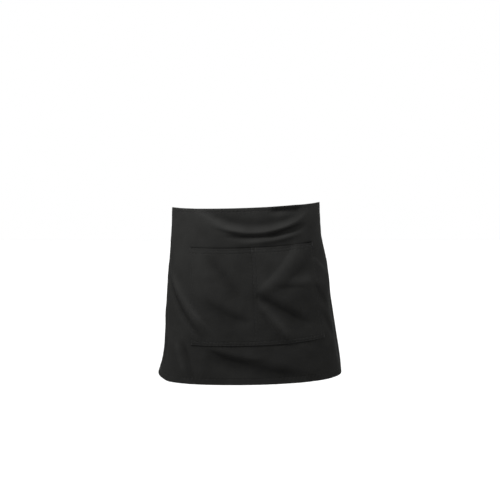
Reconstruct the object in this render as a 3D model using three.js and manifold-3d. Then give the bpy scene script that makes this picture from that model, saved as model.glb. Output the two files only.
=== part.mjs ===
// A short waist apron in black twill, in the form it takes when it is worn.
// Millimetres, +Z up. The front faces -Y. Left (-X) and right (+X) are as seen from the front.
// The origin is the middle of the waist opening, level with the front of its top edge.

import * as THREE from 'three';
import { mergeVertices } from 'three/addons/utils/BufferGeometryUtils.js';
import Module from 'manifold-3d';

const wasm = await Module();
wasm.setup();

// Driving dimensions

const WAIST_WIDTH = 348; // across the waist opening, side to side
const WAIST_DEPTH = 236; // from the front of the waist opening to its back
const CLOTH_WIDTH = 600; // cut width of the panel along its top edge
const HEM_FLARE = 30; // how much wider the panel is cut along its lower edge
const CLOTH_LENGTH = 406; // cut length of the panel, top edge to lower edge
const SEAM_OFFSET = 16.5; // how far the panel's middle sits to one side of the front
const CLOTH_WALL = 1.2; // one layer of twill, with its nap
const HEM_WALL = 2.2; // the cloth where it is turned back on itself
const TOP_HEM = 10; // depth of the turned hem along the top edge
const SIDE_HEM = 10; // depth of the turned hems down both sides
const LOW_HEM = 15; // depth of the turned hem along the lower edge

const POCKET_WIDTH = 300; // across both compartments, along the mouth
const POCKET_LENGTH = 224; // mouth to bottom
const POCKET_DROP = 91; // from the panel's top edge down to the mouth
const POCKET_SPREAD = 12; // how far its lower right corner is drawn out sideways
const POCKET_GAPE = 10; // how far each mouth stands open at its middle
const MOUTH_HEM = 14; // depth of the turned hem along the mouth
const SEAM_HALF = 4; // half the width of the sewn strip between the compartments

const TIE_WIDTH = 25; // across the flat tape
const TIE_WALL = 1.6; // the tape, folded and sewn flat
const TIE_LAP = 25; // how much of each tie is sewn behind the panel
const TIE_INSET = 1.5; // from the panel's top edge down to the tape's upper edge
const KNOT_WIDTH = 34;
const KNOT_HEIGHT = 27;
const KNOT_DEPTH = 15;
const TIE_GATHER = 45; // the stretch over which a tie is drawn together before the knot
const GATHERED_WIDTH = 15; // the tie's width where it enters the knot
const GATHERED_WALL = 3.2; // its thickness there
const TAIL_LENGTH = 165; // each loose end below the knot

const SEAT_GAP = 0.3; // clearance between pieces that lie on each other
const GRID_STEP = 12.5; // the longest side of a facet of the cloth

const BLACK_TWILL = { color: 0x262625, roughness: 0.92, metalness: 0 };
const BLACK_TAPE = { color: 0x232322, roughness: 0.9, metalness: 0 };

// A table: a row of numbers becomes an object with a name for each column.
const table = (columns, rows) => rows.map((row) => Object.fromEntries(row.map((n, i) => [columns[i], n])));

// The hang of the cloth, a row for each level.
// down: share of the cloth's length. left, right: shares of half the waist's width.
// depth: share of half the waist's depth. boxLeft, boxRight: exponents of the plan curve,
// 2 for an ellipse and more for a squarer turn. tilt: rise per millimetre to the right.
// bow: how much higher the sides lie than the front, as a share of the cloth's length.
const LEVELS = table(
  ['down', 'left', 'right', 'depth', 'boxLeft', 'boxRight', 'tilt', 'bow'],
  [
    [0.0, 1.0, 1.0, 1.0, 2.1, 2.1, 0.035, 0.006],
    [0.11, 1.005, 1.012, 1.02, 2.2, 2.15, 0.035, 0.01],
    [0.22, 1.022, 1.034, 1.05, 2.3, 2.2, 0.035, 0.014],
    [0.36, 1.053, 1.1, 1.1, 2.4, 2.2, 0.035, 0.016],
    [0.5, 1.072, 1.146, 1.15, 2.6, 2.2, 0.033, 0.017],
    [0.64, 1.096, 1.19, 1.18, 2.8, 2.2, 0.03, 0.017],
    [0.78, 1.108, 1.242, 1.2, 3.0, 2.3, 0.026, 0.017],
    [0.9, 1.14, 1.29, 1.21, 3.2, 2.4, 0.018, 0.012],
    [1.0, 1.196, 1.312, 1.22, 3.3, 2.5, 0.01, 0.01],
  ],
);
const BOW_REACH = 1.2; // the bow is reached this many half widths from the middle
const BACK_FALL = 0.155; // how steeply the waist line falls from the sides to the back
const FALL_ROUND = 12; // the stretch over which that fall sets in
const HANG = 0.998; // the height the cloth takes up, as a share of its length

// The folds of the cloth, a row for each ridge or valley.
// across, toAcross: its two ends, as shares of half the cloth's width from the middle.
// down, toDown: the same ends, as shares of the cloth's length.
// sag: how far the middle of the fold dips below its chord. width, height: of its profile,
// with a valley's height below zero. These three are shares of the cloth's length.
const FOLDS = table(
  ['across', 'down', 'toAcross', 'toDown', 'sag', 'width', 'height'],
  [
    [-0.32, 0.07, 0.46, 0.055, 0.08, 0.03, 0.014], // the swag over the pocket
    [-0.22, 0.145, 0.44, 0.12, 0.04, 0.022, -0.008], // the hollow under the swag
    [0.24, -0.02, 0.3, 0.09, 0, 0.03, -0.007], // a pucker at the top edge
    [0.39, 0.2, 0.0, 0.52, 0.01, 0.04, 0.013], // the ridge across the right compartment
    [0.5, 0.26, 0.06, 0.55, 0, 0.045, -0.012], // the valley beside that ridge
    [0.03, 0.53, 0.26, 0.75, 0, 0.03, 0.01], // a low ridge under them
    [-0.74, 0.4, -0.4, 0.74, 0.01, 0.022, -0.01], // the crease from the left hip
    [-0.68, 0.4, -0.36, 0.7, 0.01, 0.028, 0.009], // the ridge beside that crease
    [-0.4, 0.52, -0.02, 0.66, 0.02, 0.055, -0.009], // the hollow of the left compartment
    [-0.32, 0.28, -0.1, 0.52, 0, 0.035, -0.005], // a faint valley above it
    [-0.62, 0.75, -0.54, 0.95, 0, 0.025, 0.009], // a ridge at the lower left
    [-0.56, 0.76, -0.45, 1.02, 0, 0.025, -0.009], // the valley beside that ridge
    [-0.46, 0.8, 0.36, 0.96, 0.03, 0.05, -0.011], // the hollow over the lower hem
    [0.44, 0.44, 0.66, 0.62, 0, 0.025, -0.007], // a wrinkle at the right hip
    [0.72, 0.45, 0.8, 1.03, 0, 0.06, -0.012], // the drape behind the right side
    [-0.8, 0.5, -0.84, 1.03, 0, 0.06, -0.012], // the drape behind the left side
  ],
);
const FOLD_FADE = 0.3; // the share of a fold's length over which each end dies away

// The plain knot, a row for each section along X: shares of half its width, height and depth.
const KNOT_SECTIONS = table(
  ['across', 'height', 'depth'],
  [
    [-1.0, 0.66, 0.55],
    [-0.72, 0.84, 0.8],
    [-0.52, 0.74, 0.7],
    [-0.38, 0.96, 0.96],
    [0.0, 1.0, 1.0],
    [0.38, 0.96, 0.96],
    [0.52, 0.74, 0.7],
    [0.72, 0.84, 0.8],
    [1.0, 0.66, 0.55],
  ],
);
const KNOT_SIDES = 20;
const KNOT_SQUARE = 2.8; // exponent of the knot's section

// Each loose end, a row for each level below the knot, in shares of the tail's length.
// out: how far it has swung to its own side. back: how far it stands off. turn: its twist, in radians.
const TAIL_ROUTE = table(
  ['down', 'out', 'back', 'turn'],
  [
    [-0.06, 0.02, 0.0, 0.0],
    [0.08, 0.06, 0.03, 0.08],
    [0.25, 0.12, 0.055, 0.2],
    [0.5, 0.19, 0.04, 0.42],
    [0.75, 0.25, 0.015, 0.3],
    [1.0, 0.3, 0.03, 0.1],
  ],
);
const TAIL_OPENING = 0.3; // the share of a tail over which the tape spreads to its full width
const TAIL_APART = 0.6; // each tail lies this many tape walls off the middle, so that they cross clear
const TAIL_STEPS = 12;

const SECTION_STEPS = 360; // chords in the plan curve that arc lengths are measured on
const halfWidth = WAIST_WIDTH / 2;
const halfDepth = WAIST_DEPTH / 2;
const halfCloth = CLOTH_WIDTH / 2;
const halfPocket = POCKET_WIDTH / 2;
const pocketBottom = POCKET_DROP + POCKET_LENGTH;

// Small helpers

const clamp01 = (t) => Math.min(1, Math.max(0, t));
const ease = (t) => clamp01(t) ** 2 * (3 - 2 * clamp01(t));
const mix = (a, b, t) => a + (b - a) * t;

// A smooth curve through one column of a table, at a place in the column that its rows rise in.
function along(rows, key, column, at) {
  const last = rows.length - 1;
  let i = 0;
  while (i < last - 1 && at > rows[i + 1][key]) i += 1;
  const slope = (k) => {
    const a = rows[Math.max(0, k - 1)];
    const b = rows[Math.min(last, k + 1)];
    return (b[column] - a[column]) / (b[key] - a[key]);
  };
  const length = rows[i + 1][key] - rows[i][key];
  const t = clamp01((at - rows[i][key]) / length);
  const start = (1 + 2 * t) * (1 - t) ** 2 * rows[i][column] + t * (1 - t) ** 2 * length * slope(i);
  const end = t * t * (3 - 2 * t) * rows[i + 1][column] + t * t * (t - 1) * length * slope(i + 1);
  return start + end;
}

// The plan curve at one level, with the distance round it from its front-most point.
const planCurves = new Map();
function planCurve(share) {
  if (planCurves.has(share)) return planCurves.get(share);
  const left = along(LEVELS, 'down', 'left', share) * halfWidth;
  const right = along(LEVELS, 'down', 'right', share) * halfWidth;
  const depth = along(LEVELS, 'down', 'depth', share) * halfDepth;
  const boxLeft = along(LEVELS, 'down', 'boxLeft', share);
  const boxRight = along(LEVELS, 'down', 'boxRight', share);
  const middle = (right - left) / 2;
  const half = (right + left) / 2;
  const curve = [];
  for (let i = -SECTION_STEPS; i <= SECTION_STEPS; i += 1) {
    const angle = (i / SECTION_STEPS) * Math.PI;
    const box = angle < 0 ? boxLeft : boxRight;
    const sum = Math.abs(Math.cos(angle) / depth) ** box + Math.abs(Math.sin(angle) / half) ** box;
    const radius = sum ** (-1 / box);
    curve.push({ x: middle + radius * Math.sin(angle), y: -radius * Math.cos(angle), s: 0 });
  }
  for (let i = 1; i < curve.length; i += 1) {
    const chord = Math.hypot(curve[i].x - curve[i - 1].x, curve[i].y - curve[i - 1].y);
    curve[i].s = curve[i - 1].s + chord;
  }
  const front = curve[SECTION_STEPS].s;
  for (const point of curve) point.s -= front;
  planCurves.set(share, curve);
  return curve;
}

// The point a distance round a plan curve.
function planPoint(share, distance) {
  const curve = planCurve(share);
  let low = 0;
  let high = curve.length - 1;
  while (high - low > 1) {
    const half = Math.floor((low + high) / 2);
    if (curve[half].s <= distance) low = half;
    else high = half;
  }
  const t = (distance - curve[low].s) / (curve[high].s - curve[low].s);
  return { x: mix(curve[low].x, curve[high].x, t), y: mix(curve[low].y, curve[high].y, t) };
}

// The height of the cloth at a level and a place in plan.
function heightAt(share, x, y) {
  const tilt = along(LEVELS, 'down', 'tilt', share) * x;
  const bow = along(LEVELS, 'down', 'bow', share) * CLOTH_LENGTH * (x / (halfWidth * BOW_REACH)) ** 2;
  const fall = (BACK_FALL * (Math.hypot(y, FALL_ROUND) + y) * (1 - share)) / 2;
  return tilt + bow - fall - HANG * CLOTH_LENGTH * share;
}

// The smooth hang of the cloth, u across it from its middle and v down it from its top edge.
function hangPoint(u, v) {
  const share = v / CLOTH_LENGTH;
  const flare = 1 + (HEM_FLARE / CLOTH_WIDTH) * share;
  const { x, y } = planPoint(share, u * flare + SEAM_OFFSET);
  return new THREE.Vector3(x, y, heightAt(share, x, y));
}

const NORMAL_STEP = 2; // the spacing of the points that a normal is worked out from
function hangNormal(u, v) {
  const up = Math.max(0, v - NORMAL_STEP);
  const down = Math.min(CLOTH_LENGTH, v + NORMAL_STEP);
  const across = hangPoint(u + NORMAL_STEP, v).sub(hangPoint(u - NORMAL_STEP, v));
  const fall = hangPoint(u, down).sub(hangPoint(u, up));
  return fall.cross(across).normalize();
}

// The height of all the folds at one place on the cloth.
function foldHeight(u, v) {
  let sum = 0;
  for (const fold of FOLDS) {
    const u0 = fold.across * halfCloth;
    const v0 = fold.down * CLOTH_LENGTH;
    const du = fold.toAcross * halfCloth - u0;
    const dv = fold.toDown * CLOTH_LENGTH - v0;
    const length = Math.hypot(du, dv);
    const t = ((u - u0) * du + (v - v0) * dv) / length ** 2;
    const aside = ((v - v0) * du - (u - u0) * dv) / length;
    const dip = fold.sag * CLOTH_LENGTH * 4 * t * (1 - t);
    const fade = ease(t / FOLD_FADE) * ease((1 - t) / FOLD_FADE);
    const offset = (aside * Math.sign(du) - dip) / (fold.width * CLOTH_LENGTH);
    sum += fade * fold.height * CLOTH_LENGTH * Math.exp(-offset * offset);
  }
  return sum;
}

// A point of a layer of cloth that lies a distance out from the folded surface.
function layerPoint(u, v, out) {
  return hangPoint(u, v).addScaledVector(hangNormal(u, v), foldHeight(u, v) + out);
}

// Places between anchors, with no step longer than the grid's.
const STEP_SLACK = 0.001; // lets a stretch of whole steps keep its count
function stations(anchors, nominal = anchors) {
  const places = [anchors[0]];
  for (let i = 1; i < anchors.length; i += 1) {
    const cells = Math.max(1, Math.ceil((nominal[i] - nominal[i - 1]) / GRID_STEP - STEP_SLACK));
    for (let k = 1; k <= cells; k += 1) places.push(mix(anchors[i - 1], anchors[i], k / cells));
  }
  return places;
}

// The cloth's own grid: rows down it, and columns across it that follow the pocket's edges.
const mouthHemEnd = POCKET_DROP + MOUTH_HEM;
const lowHemStart = CLOTH_LENGTH - LOW_HEM;
const rows = stations([0, TOP_HEM, POCKET_DROP, mouthHemEnd, pocketBottom, lowHemStart, CLOTH_LENGTH]);
const sideSeam = halfCloth - SIDE_HEM;
const columnAnchors = [-halfCloth, -sideSeam, -halfPocket, 0, halfPocket, sideSeam, halfCloth];

function columnsAt(v) {
  const spread = POCKET_SPREAD * clamp01((v - POCKET_DROP) / POCKET_LENGTH);
  const anchors = columnAnchors.map((u) => (u === halfPocket ? u + spread : u));
  return stations(anchors, columnAnchors);
}
const nominalColumns = stations(columnAnchors);

// A closed body from its faces, turned so that they look out.
function closedGeometry(points, faces) {
  let volume = 0;
  for (const [a, b, c] of faces) {
    volume += points[a].dot(new THREE.Vector3().crossVectors(points[b], points[c]));
  }
  const turned = volume < 0 ? faces.map(([a, b, c]) => [a, c, b]) : faces;
  const geometry = new THREE.BufferGeometry();
  const numbers = points.flatMap((point) => point.toArray());
  geometry.setAttribute('position', new THREE.Float32BufferAttribute(numbers, 3));
  geometry.setIndex(turned.flat());
  return geometry;
}

// A wall of cloth between an outer and an inner grid of points, closed round its rim.
function wallGeometry(outer, inner) {
  const rowCount = outer.length;
  const columnCount = outer[0].length;
  const points = [...outer.flat(), ...inner.flat()];
  const offset = rowCount * columnCount;
  const at = (i, j) => i * columnCount + j;
  const faces = [];
  const quad = (a, b, c, d) => faces.push([a, b, c], [a, c, d]);
  for (let i = 0; i < rowCount - 1; i += 1) {
    for (let j = 0; j < columnCount - 1; j += 1) {
      quad(at(i, j), at(i + 1, j), at(i + 1, j + 1), at(i, j + 1));
      quad(offset + at(i, j), offset + at(i, j + 1), offset + at(i + 1, j + 1), offset + at(i + 1, j));
    }
  }
  const rim = [];
  for (let j = 0; j < columnCount - 1; j += 1) rim.push(at(0, j));
  for (let i = 0; i < rowCount - 1; i += 1) rim.push(at(i, columnCount - 1));
  for (let j = columnCount - 1; j > 0; j -= 1) rim.push(at(rowCount - 1, j));
  for (let i = rowCount - 1; i > 0; i -= 1) rim.push(at(i, 0));
  rim.forEach((a, k) => {
    const b = rim[(k + 1) % rim.length];
    quad(a, b, offset + b, offset + a);
  });
  return closedGeometry(points, faces);
}

// A closed body through rings of points, its two ends closed flat.
function loftGeometry(rings) {
  const sides = rings[0].length;
  const points = rings.flat();
  const faces = [];
  for (let i = 0; i < rings.length - 1; i += 1) {
    for (let j = 0; j < sides; j += 1) {
      const a = i * sides + j;
      const b = i * sides + ((j + 1) % sides);
      faces.push([a, b, b + sides], [a, b + sides, a + sides]);
    }
  }
  const last = (rings.length - 1) * sides;
  for (let j = 1; j < sides - 1; j += 1) {
    faces.push([0, j + 1, j], [last, last + j, last + j + 1]);
  }
  return closedGeometry(points, faces);
}

function solidOf(geometry) {
  const merged = mergeVertices(geometry);
  const mesh = new wasm.Mesh({
    numProp: 3,
    vertProperties: new Float32Array(merged.attributes.position.array),
    triVerts: new Uint32Array(merged.index.array),
  });
  return new wasm.Manifold(mesh);
}

function geometryOf(solid) {
  const mesh = solid.getMesh();
  const geometry = new THREE.BufferGeometry();
  geometry.setAttribute('position', new THREE.BufferAttribute(mesh.vertProperties, 3));
  geometry.setIndex(new THREE.BufferAttribute(mesh.triVerts, 1));
  return geometry;
}

// The panel: one layer of twill, with turned hems on all four sides

function panelWall(u, v) {
  const inHem = v <= TOP_HEM || v >= lowHemStart || Math.abs(u) >= sideSeam;
  return inHem ? HEM_WALL : CLOTH_WALL;
}

function panelGeometry() {
  const outer = rows.map((v) => columnsAt(v).map((u) => layerPoint(u, v, 0)));
  const inner = rows.map((v) => columnsAt(v).map((u) => layerPoint(u, v, -panelWall(u, v))));
  return wallGeometry(outer, inner);
}

// The pocket: a second layer sewn on at its sides, its bottom and down the middle

// How far the layer stands off the panel: nothing at its seams, most at the middle of each mouth.
const GAPE_ROUND = 0.75; // below 1 for a fuller curve across the mouth
const GAPE_FALL = 1.6; // above 1 for a pocket that stays open further down
function pocketGape(across, v) {
  const compartment = Math.abs(across) / halfPocket;
  const seam = SEAM_HALF / halfPocket;
  const place = clamp01((compartment - seam) / (1 - 2 * seam));
  const depth = clamp01((v - POCKET_DROP) / POCKET_LENGTH);
  const swell = Math.sin(Math.PI * place) ** GAPE_ROUND;
  return POCKET_GAPE * swell * (1 - depth ** GAPE_FALL);
}

function pocketGeometry() {
  const pocketRows = rows.filter((v) => v >= POCKET_DROP && v <= pocketBottom);
  const first = nominalColumns.indexOf(-halfPocket);
  const last = nominalColumns.indexOf(halfPocket);
  const layer = (place) => pocketRows.map((v) => {
    const columns = columnsAt(v).slice(first, last + 1);
    return columns.map((u, j) => place(u, v, nominalColumns[first + j]));
  });
  const turned = (across, v) => v <= mouthHemEnd || Math.abs(across) >= halfPocket;
  const outer = layer((u, v, across) => layerPoint(u, v, SEAT_GAP + HEM_WALL + pocketGape(across, v)));
  const inner = layer((u, v, across) => {
    const wall = turned(across, v) ? HEM_WALL : CLOTH_WALL;
    const seat = Math.abs(across) < GRID_STEP || v >= pocketBottom ? HEM_WALL : wall;
    return layerPoint(u, v, SEAT_GAP + HEM_WALL + pocketGape(across, v) - seat);
  });
  return wallGeometry(outer, inner);
}

// The ties: flat tape sewn behind the panel's upper corners, running round to the knot

const waistCurve = planCurve(0);
const halfRound = waistCurve[waistCurve.length - 1].s; // front to back, measured round the waist
const tieSeat = -(HEM_WALL + SEAT_GAP + TIE_WALL / 2); // the tape's middle, from the cloth's face
const tieMiddle = TIE_INSET + TIE_WIDTH / 2;

function waistPoint(distance, drop, out) {
  const here = planPoint(0, distance);
  const ahead = planPoint(0, Math.min(halfRound, distance + NORMAL_STEP));
  const behind = planPoint(0, Math.max(-halfRound, distance - NORMAL_STEP));
  const normal = new THREE.Vector3(ahead.y - behind.y, behind.x - ahead.x, 0).normalize();
  return new THREE.Vector3(here.x, here.y, heightAt(0, here.x, here.y) - drop).addScaledVector(normal, out);
}

const TIE_ROWS = 4;
function tieGeometry(side) {
  const edge = halfCloth + side * SEAM_OFFSET; // round the waist to the panel's side edge
  const knotEnd = halfRound - KNOT_WIDTH / 2 - SEAT_GAP;
  const lapped = nominalColumns.filter((u) => u > halfCloth - TIE_LAP && u < halfCloth);
  const lap = [halfCloth - TIE_LAP, ...lapped].map((u) => u + side * SEAM_OFFSET);
  const run = stations([edge, knotEnd - TIE_GATHER, knotEnd]);
  const round = [...lap, ...run];
  const across = Array.from({ length: TIE_ROWS + 1 }, (_, i) => i / TIE_ROWS - 0.5);
  const face = (sign) => across.map((share) => round.map((distance) => {
    const drawn = ease((distance - (knotEnd - TIE_GATHER)) / TIE_GATHER);
    const width = mix(TIE_WIDTH, GATHERED_WIDTH, drawn);
    const wall = mix(TIE_WALL, GATHERED_WALL, drawn);
    return waistPoint(side * distance, tieMiddle + share * width, tieSeat + (sign * wall) / 2);
  }));
  return wallGeometry(face(1), face(-1));
}

// The knot: one plain piece with its two loose ends

const KNOT_BACK = 0.2; // how far the knot's middle stands off the tape, as a share of its depth
function knotMiddle() {
  const tape = waistPoint(halfRound, tieMiddle, tieSeat);
  return new THREE.Vector3(tape.x, tape.y + KNOT_BACK * KNOT_DEPTH, tape.z);
}

function knotBody(middle) {
  const rings = KNOT_SECTIONS.map((section) => {
    const ring = [];
    for (let i = 0; i < KNOT_SIDES; i += 1) {
      const angle = (i / KNOT_SIDES) * 2 * Math.PI;
      const c = Math.cos(angle);
      const s = Math.sin(angle);
      const radius = (Math.abs(c) ** KNOT_SQUARE + Math.abs(s) ** KNOT_SQUARE) ** (-1 / KNOT_SQUARE);
      ring.push(new THREE.Vector3(
        middle.x + (section.across * KNOT_WIDTH) / 2,
        middle.y + (radius * c * section.depth * KNOT_DEPTH) / 2,
        middle.z + (radius * s * section.height * KNOT_HEIGHT) / 2,
      ));
    }
    return ring;
  });
  return loftGeometry(rings);
}

function tailBody(middle, side) {
  const top = middle.z - KNOT_HEIGHT / 2;
  const face = (sign) => [-0.5, 0, 0.5].map((share) => {
    const line = [];
    for (let i = 0; i <= TAIL_STEPS; i += 1) {
      const down = mix(TAIL_ROUTE[0].down, 1, i / TAIL_STEPS);
      const out = along(TAIL_ROUTE, 'down', 'out', down) * TAIL_LENGTH;
      const back = along(TAIL_ROUTE, 'down', 'back', down) * TAIL_LENGTH;
      const turn = side * along(TAIL_ROUTE, 'down', 'turn', down);
      const width = mix(GATHERED_WIDTH, TIE_WIDTH, ease(down / TAIL_OPENING));
      const across = new THREE.Vector3(Math.cos(turn), Math.sin(turn), 0);
      const off = new THREE.Vector3(-Math.sin(turn), Math.cos(turn), 0);
      const point = new THREE.Vector3(middle.x + side * out, middle.y + back, top - down * TAIL_LENGTH);
      point.addScaledVector(across, share * width);
      line.push(point.addScaledVector(off, (side * TAIL_APART + sign / 2) * TIE_WALL));
    }
    return line;
  });
  return wallGeometry(face(1), face(-1));
}

function knotGeometry() {
  const middle = knotMiddle();
  const tails = solidOf(tailBody(middle, -1)).add(solidOf(tailBody(middle, 1)));
  return geometryOf(solidOf(knotBody(middle)).add(tails));
}

// The apron

function piece(name, geometry, look) {
  const mesh = new THREE.Mesh(geometry, new THREE.MeshStandardMaterial(look));
  mesh.name = name;
  return mesh;
}

const apron = new THREE.Group();
apron.name = 'waist_apron';
apron.add(piece('apron_panel', panelGeometry(), BLACK_TWILL));
apron.add(piece('pocket', pocketGeometry(), BLACK_TWILL));
apron.add(piece('tie_left', tieGeometry(-1), BLACK_TAPE));
apron.add(piece('tie_right', tieGeometry(1), BLACK_TAPE));
apron.add(piece('tie_knot', knotGeometry(), BLACK_TAPE));

export default apron;
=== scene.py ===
import math

import bpy
import numpy as np
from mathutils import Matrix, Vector


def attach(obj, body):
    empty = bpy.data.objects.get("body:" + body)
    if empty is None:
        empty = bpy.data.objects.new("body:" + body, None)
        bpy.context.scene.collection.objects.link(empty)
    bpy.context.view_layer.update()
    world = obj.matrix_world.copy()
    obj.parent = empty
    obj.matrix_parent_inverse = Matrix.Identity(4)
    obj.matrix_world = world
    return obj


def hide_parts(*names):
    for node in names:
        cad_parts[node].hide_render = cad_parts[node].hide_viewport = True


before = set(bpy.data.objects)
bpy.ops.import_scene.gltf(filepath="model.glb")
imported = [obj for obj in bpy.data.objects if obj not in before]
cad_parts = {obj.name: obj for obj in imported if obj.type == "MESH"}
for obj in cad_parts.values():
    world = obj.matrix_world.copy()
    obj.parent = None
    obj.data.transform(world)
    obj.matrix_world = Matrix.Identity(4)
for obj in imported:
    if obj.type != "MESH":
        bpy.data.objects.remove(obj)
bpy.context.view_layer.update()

# A short waist apron in black twill, as worn: a panel of cloth with turned hems, a patch pocket in
# two compartments and flat ties knotted at the back. Sizes are in millimetres until a mesh is made.

MM = 0.001

# Driving dimensions, as in the solids that are dressed here

WAIST_WIDTH = 348.0
WAIST_DEPTH = 236.0
CLOTH_WIDTH = 600.0
HEM_FLARE = 30.0
CLOTH_LENGTH = 406.0
SEAM_OFFSET = 16.5  # the centre seam hangs this far to the right of the middle

TOP_HEM = 10.0
SIDE_HEM = 10.0
LOW_HEM = 15.0
HEM_STITCH = 1.5  # the stitches run this far inside a hem's turned edge
HEM_WALL = 2.2
CLOTH_WALL = 1.0

POCKET_WIDTH = 300.0
POCKET_LENGTH = 224.0
POCKET_DROP = 91.0
POCKET_SPREAD = 12.0
POCKET_GAPE = 10.0
POCKET_WALL = 0.9
POCKET_EDGE = 1.4
MOUTH_HEM = 14.0
MOUTH_ROWS = (6.0, 13.0)  # rows of stitches below the mouth
SIDE_ROWS = (2.2, 8.6)  # rows of stitches inside the pocket's sides and base
SEAM_HALF = 4.0  # half the distance between the centre seam's two rows

TIE_WIDTH = 25.0
TIE_WALL = 1.6
TIE_LAP = 25.0
TIE_INSET = 1.5
KNOT_WIDTH = 34.0
KNOT_HEIGHT = 27.0
KNOT_DEPTH = 15.0
KNOT_BACK = 0.2
TIE_GATHER = 45.0
GATHERED_WIDTH = 15.0
GATHERED_WALL = 3.2
TAIL_LENGTH = 165.0
TAIL_HEM = 8.0
SEAT_GAP = 0.3

HALF_CLOTH = CLOTH_WIDTH / 2
HALF_POCKET = POCKET_WIDTH / 2
POCKET_BOTTOM = POCKET_DROP + POCKET_LENGTH

THREAD = 0.27  # radius of the sewing thread
STITCH = 3.1  # from one stitch to the next
STITCH_LENGTH = 2.5


def table(columns, rows):
    """Rows of numbers as one array for each named column."""
    return dict(zip(columns, np.array(rows, float).T))


# The hang of the cloth, a row for each level
LEVELS = table(
    ("down", "left", "right", "depth", "box_left", "box_right", "tilt", "bow"),
    [
        (0.0, 1.0, 1.0, 1.0, 2.1, 2.1, 0.035, 0.006),
        (0.11, 1.005, 1.012, 1.02, 2.2, 2.15, 0.035, 0.01),
        (0.22, 1.022, 1.034, 1.05, 2.3, 2.2, 0.035, 0.014),
        (0.36, 1.053, 1.1, 1.1, 2.4, 2.2, 0.035, 0.016),
        (0.5, 1.072, 1.146, 1.15, 2.6, 2.2, 0.033, 0.017),
        (0.64, 1.096, 1.19, 1.18, 2.8, 2.2, 0.03, 0.017),
        (0.78, 1.108, 1.242, 1.2, 3.0, 2.3, 0.026, 0.017),
        (0.9, 1.14, 1.29, 1.21, 3.2, 2.4, 0.018, 0.012),
        (1.0, 1.196, 1.312, 1.22, 3.3, 2.5, 0.01, 0.01),
    ],
)
BOW_REACH = 1.2
BACK_FALL = 0.155  # the top edge's slope down to the back
FALL_ROUND = 40.0  # how softly that slope starts
LEFT_RISE = 0.013  # how far the hem lifts where it turns back at the left
RISE_START, RISE_REACH = 1.02, 0.16  # where it lifts, as shares of half the waist's width
HANG = 0.998  # the hang's height as a share of the cloth's length

# Ridges and valleys, a row for each: its two ends as shares of half the cloth's width and of its
# length, then its sag, its width above and below its line, and its height, as shares of the length
FOLDS = table(
    ("across", "down", "to_across", "to_down", "sag", "over", "under", "height"),
    [
        # the swag under the waist: the hollow over it, its crest, and the hollow and ridge below
        (-0.42, 0.00, 0.50, 0.00, 0.098, 0.03, 0.022, -0.007),
        (-0.54, -0.02, -0.02, 0.145, 0.02, 0.022, 0.07, 0.009),
        (-0.38, 0.07, 0.50, 0.035, 0.09, 0.021, 0.013, 0.0135),
        (-0.26, 0.155, 0.22, 0.150, 0.015, 0.010, 0.012, -0.005),
        (0.06, 0.172, 0.46, 0.108, 0.0, 0.012, 0.020, -0.016),
        (-0.16, 0.200, 0.42, 0.155, 0.012, 0.016, 0.016, 0.008),
        (0.10, 0.027, 0.42, 0.019, 0.0, 0.016, 0.022, -0.015),
        # the right compartment
        (0.375, 0.175, -0.05, 0.52, 0.038, 0.024, 0.045, 0.010),
        (0.52, 0.17, 0.10, 0.52, 0.03, 0.03, 0.06, -0.008),
        (-0.015, 0.50, 0.28, 0.80, 0.0, 0.03, 0.018, 0.014),
        (-0.06, 0.46, 0.44, 0.71, 0.0, 0.032, 0.055, -0.018),
        (0.10, 0.42, 0.64, 0.47, 0.0, 0.03, 0.02, 0.007),
        # the left compartment
        (-0.42, 0.50, -0.02, 0.66, 0.02, 0.03, 0.06, -0.012),
        (-0.36, 0.24, -0.08, 0.56, 0.0, 0.03, 0.05, -0.009),
        # between the pocket and the left side
        (-0.80, 0.36, -0.38, 0.76, 0.016, 0.03, 0.016, -0.017),
        (-0.72, 0.34, -0.32, 0.72, 0.016, 0.018, 0.05, 0.012),
        # the lower edge
        (-0.64, 0.75, -0.54, 0.97, 0.0, 0.02, 0.02, 0.010),
        (-0.58, 0.74, -0.46, 1.03, 0.0, 0.014, 0.02, -0.011),
        (-0.52, 0.77, 0.52, 1.00, 0.03, 0.036, 0.06, -0.0155),
        (-0.42, 0.765, 0.10, 0.85, 0.03, 0.03, 0.016, 0.006),
        # between the pocket and the right side
        (0.42, 0.42, 0.64, 0.62, 0.0, 0.018, 0.03, -0.007),
        (0.46, 0.30, 0.64, 0.42, 0.0, 0.014, 0.02, 0.007),
        (0.52, 0.60, 0.70, 0.80, 0.0, 0.02, 0.03, -0.008),
        # the drape at both sides
        (0.72, 0.45, 0.80, 1.03, 0.0, 0.06, 0.06, -0.012),
        (-0.80, 0.50, -0.84, 1.03, 0.0, 0.06, 0.06, -0.012),
    ],
)
FOLD_FADE = 0.3  # a fold swells and fades over this share of its length
FULL_FOLD = 0.015  # a fold of this height gets the full painted highlight along a crest and the full painted shade along a hollow

# Unevenness of soft cloth: seeded waves, a row for each group
WAVES = table(
    ("count", "shortest", "longest", "height"),
    [
        (26, 38.0, 150.0, 0.42),
        (34, 13.0, 34.0, 0.07),
    ],
)
WAVE_SEED = 11


def ease(t):
    t = np.clip(t, 0, 1)
    return t * t * (3 - 2 * t)


def mix(a, b, t):
    return a + (b - a) * t


def unit(vectors):
    return vectors / np.linalg.norm(vectors, axis=-1, keepdims=True)


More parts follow.
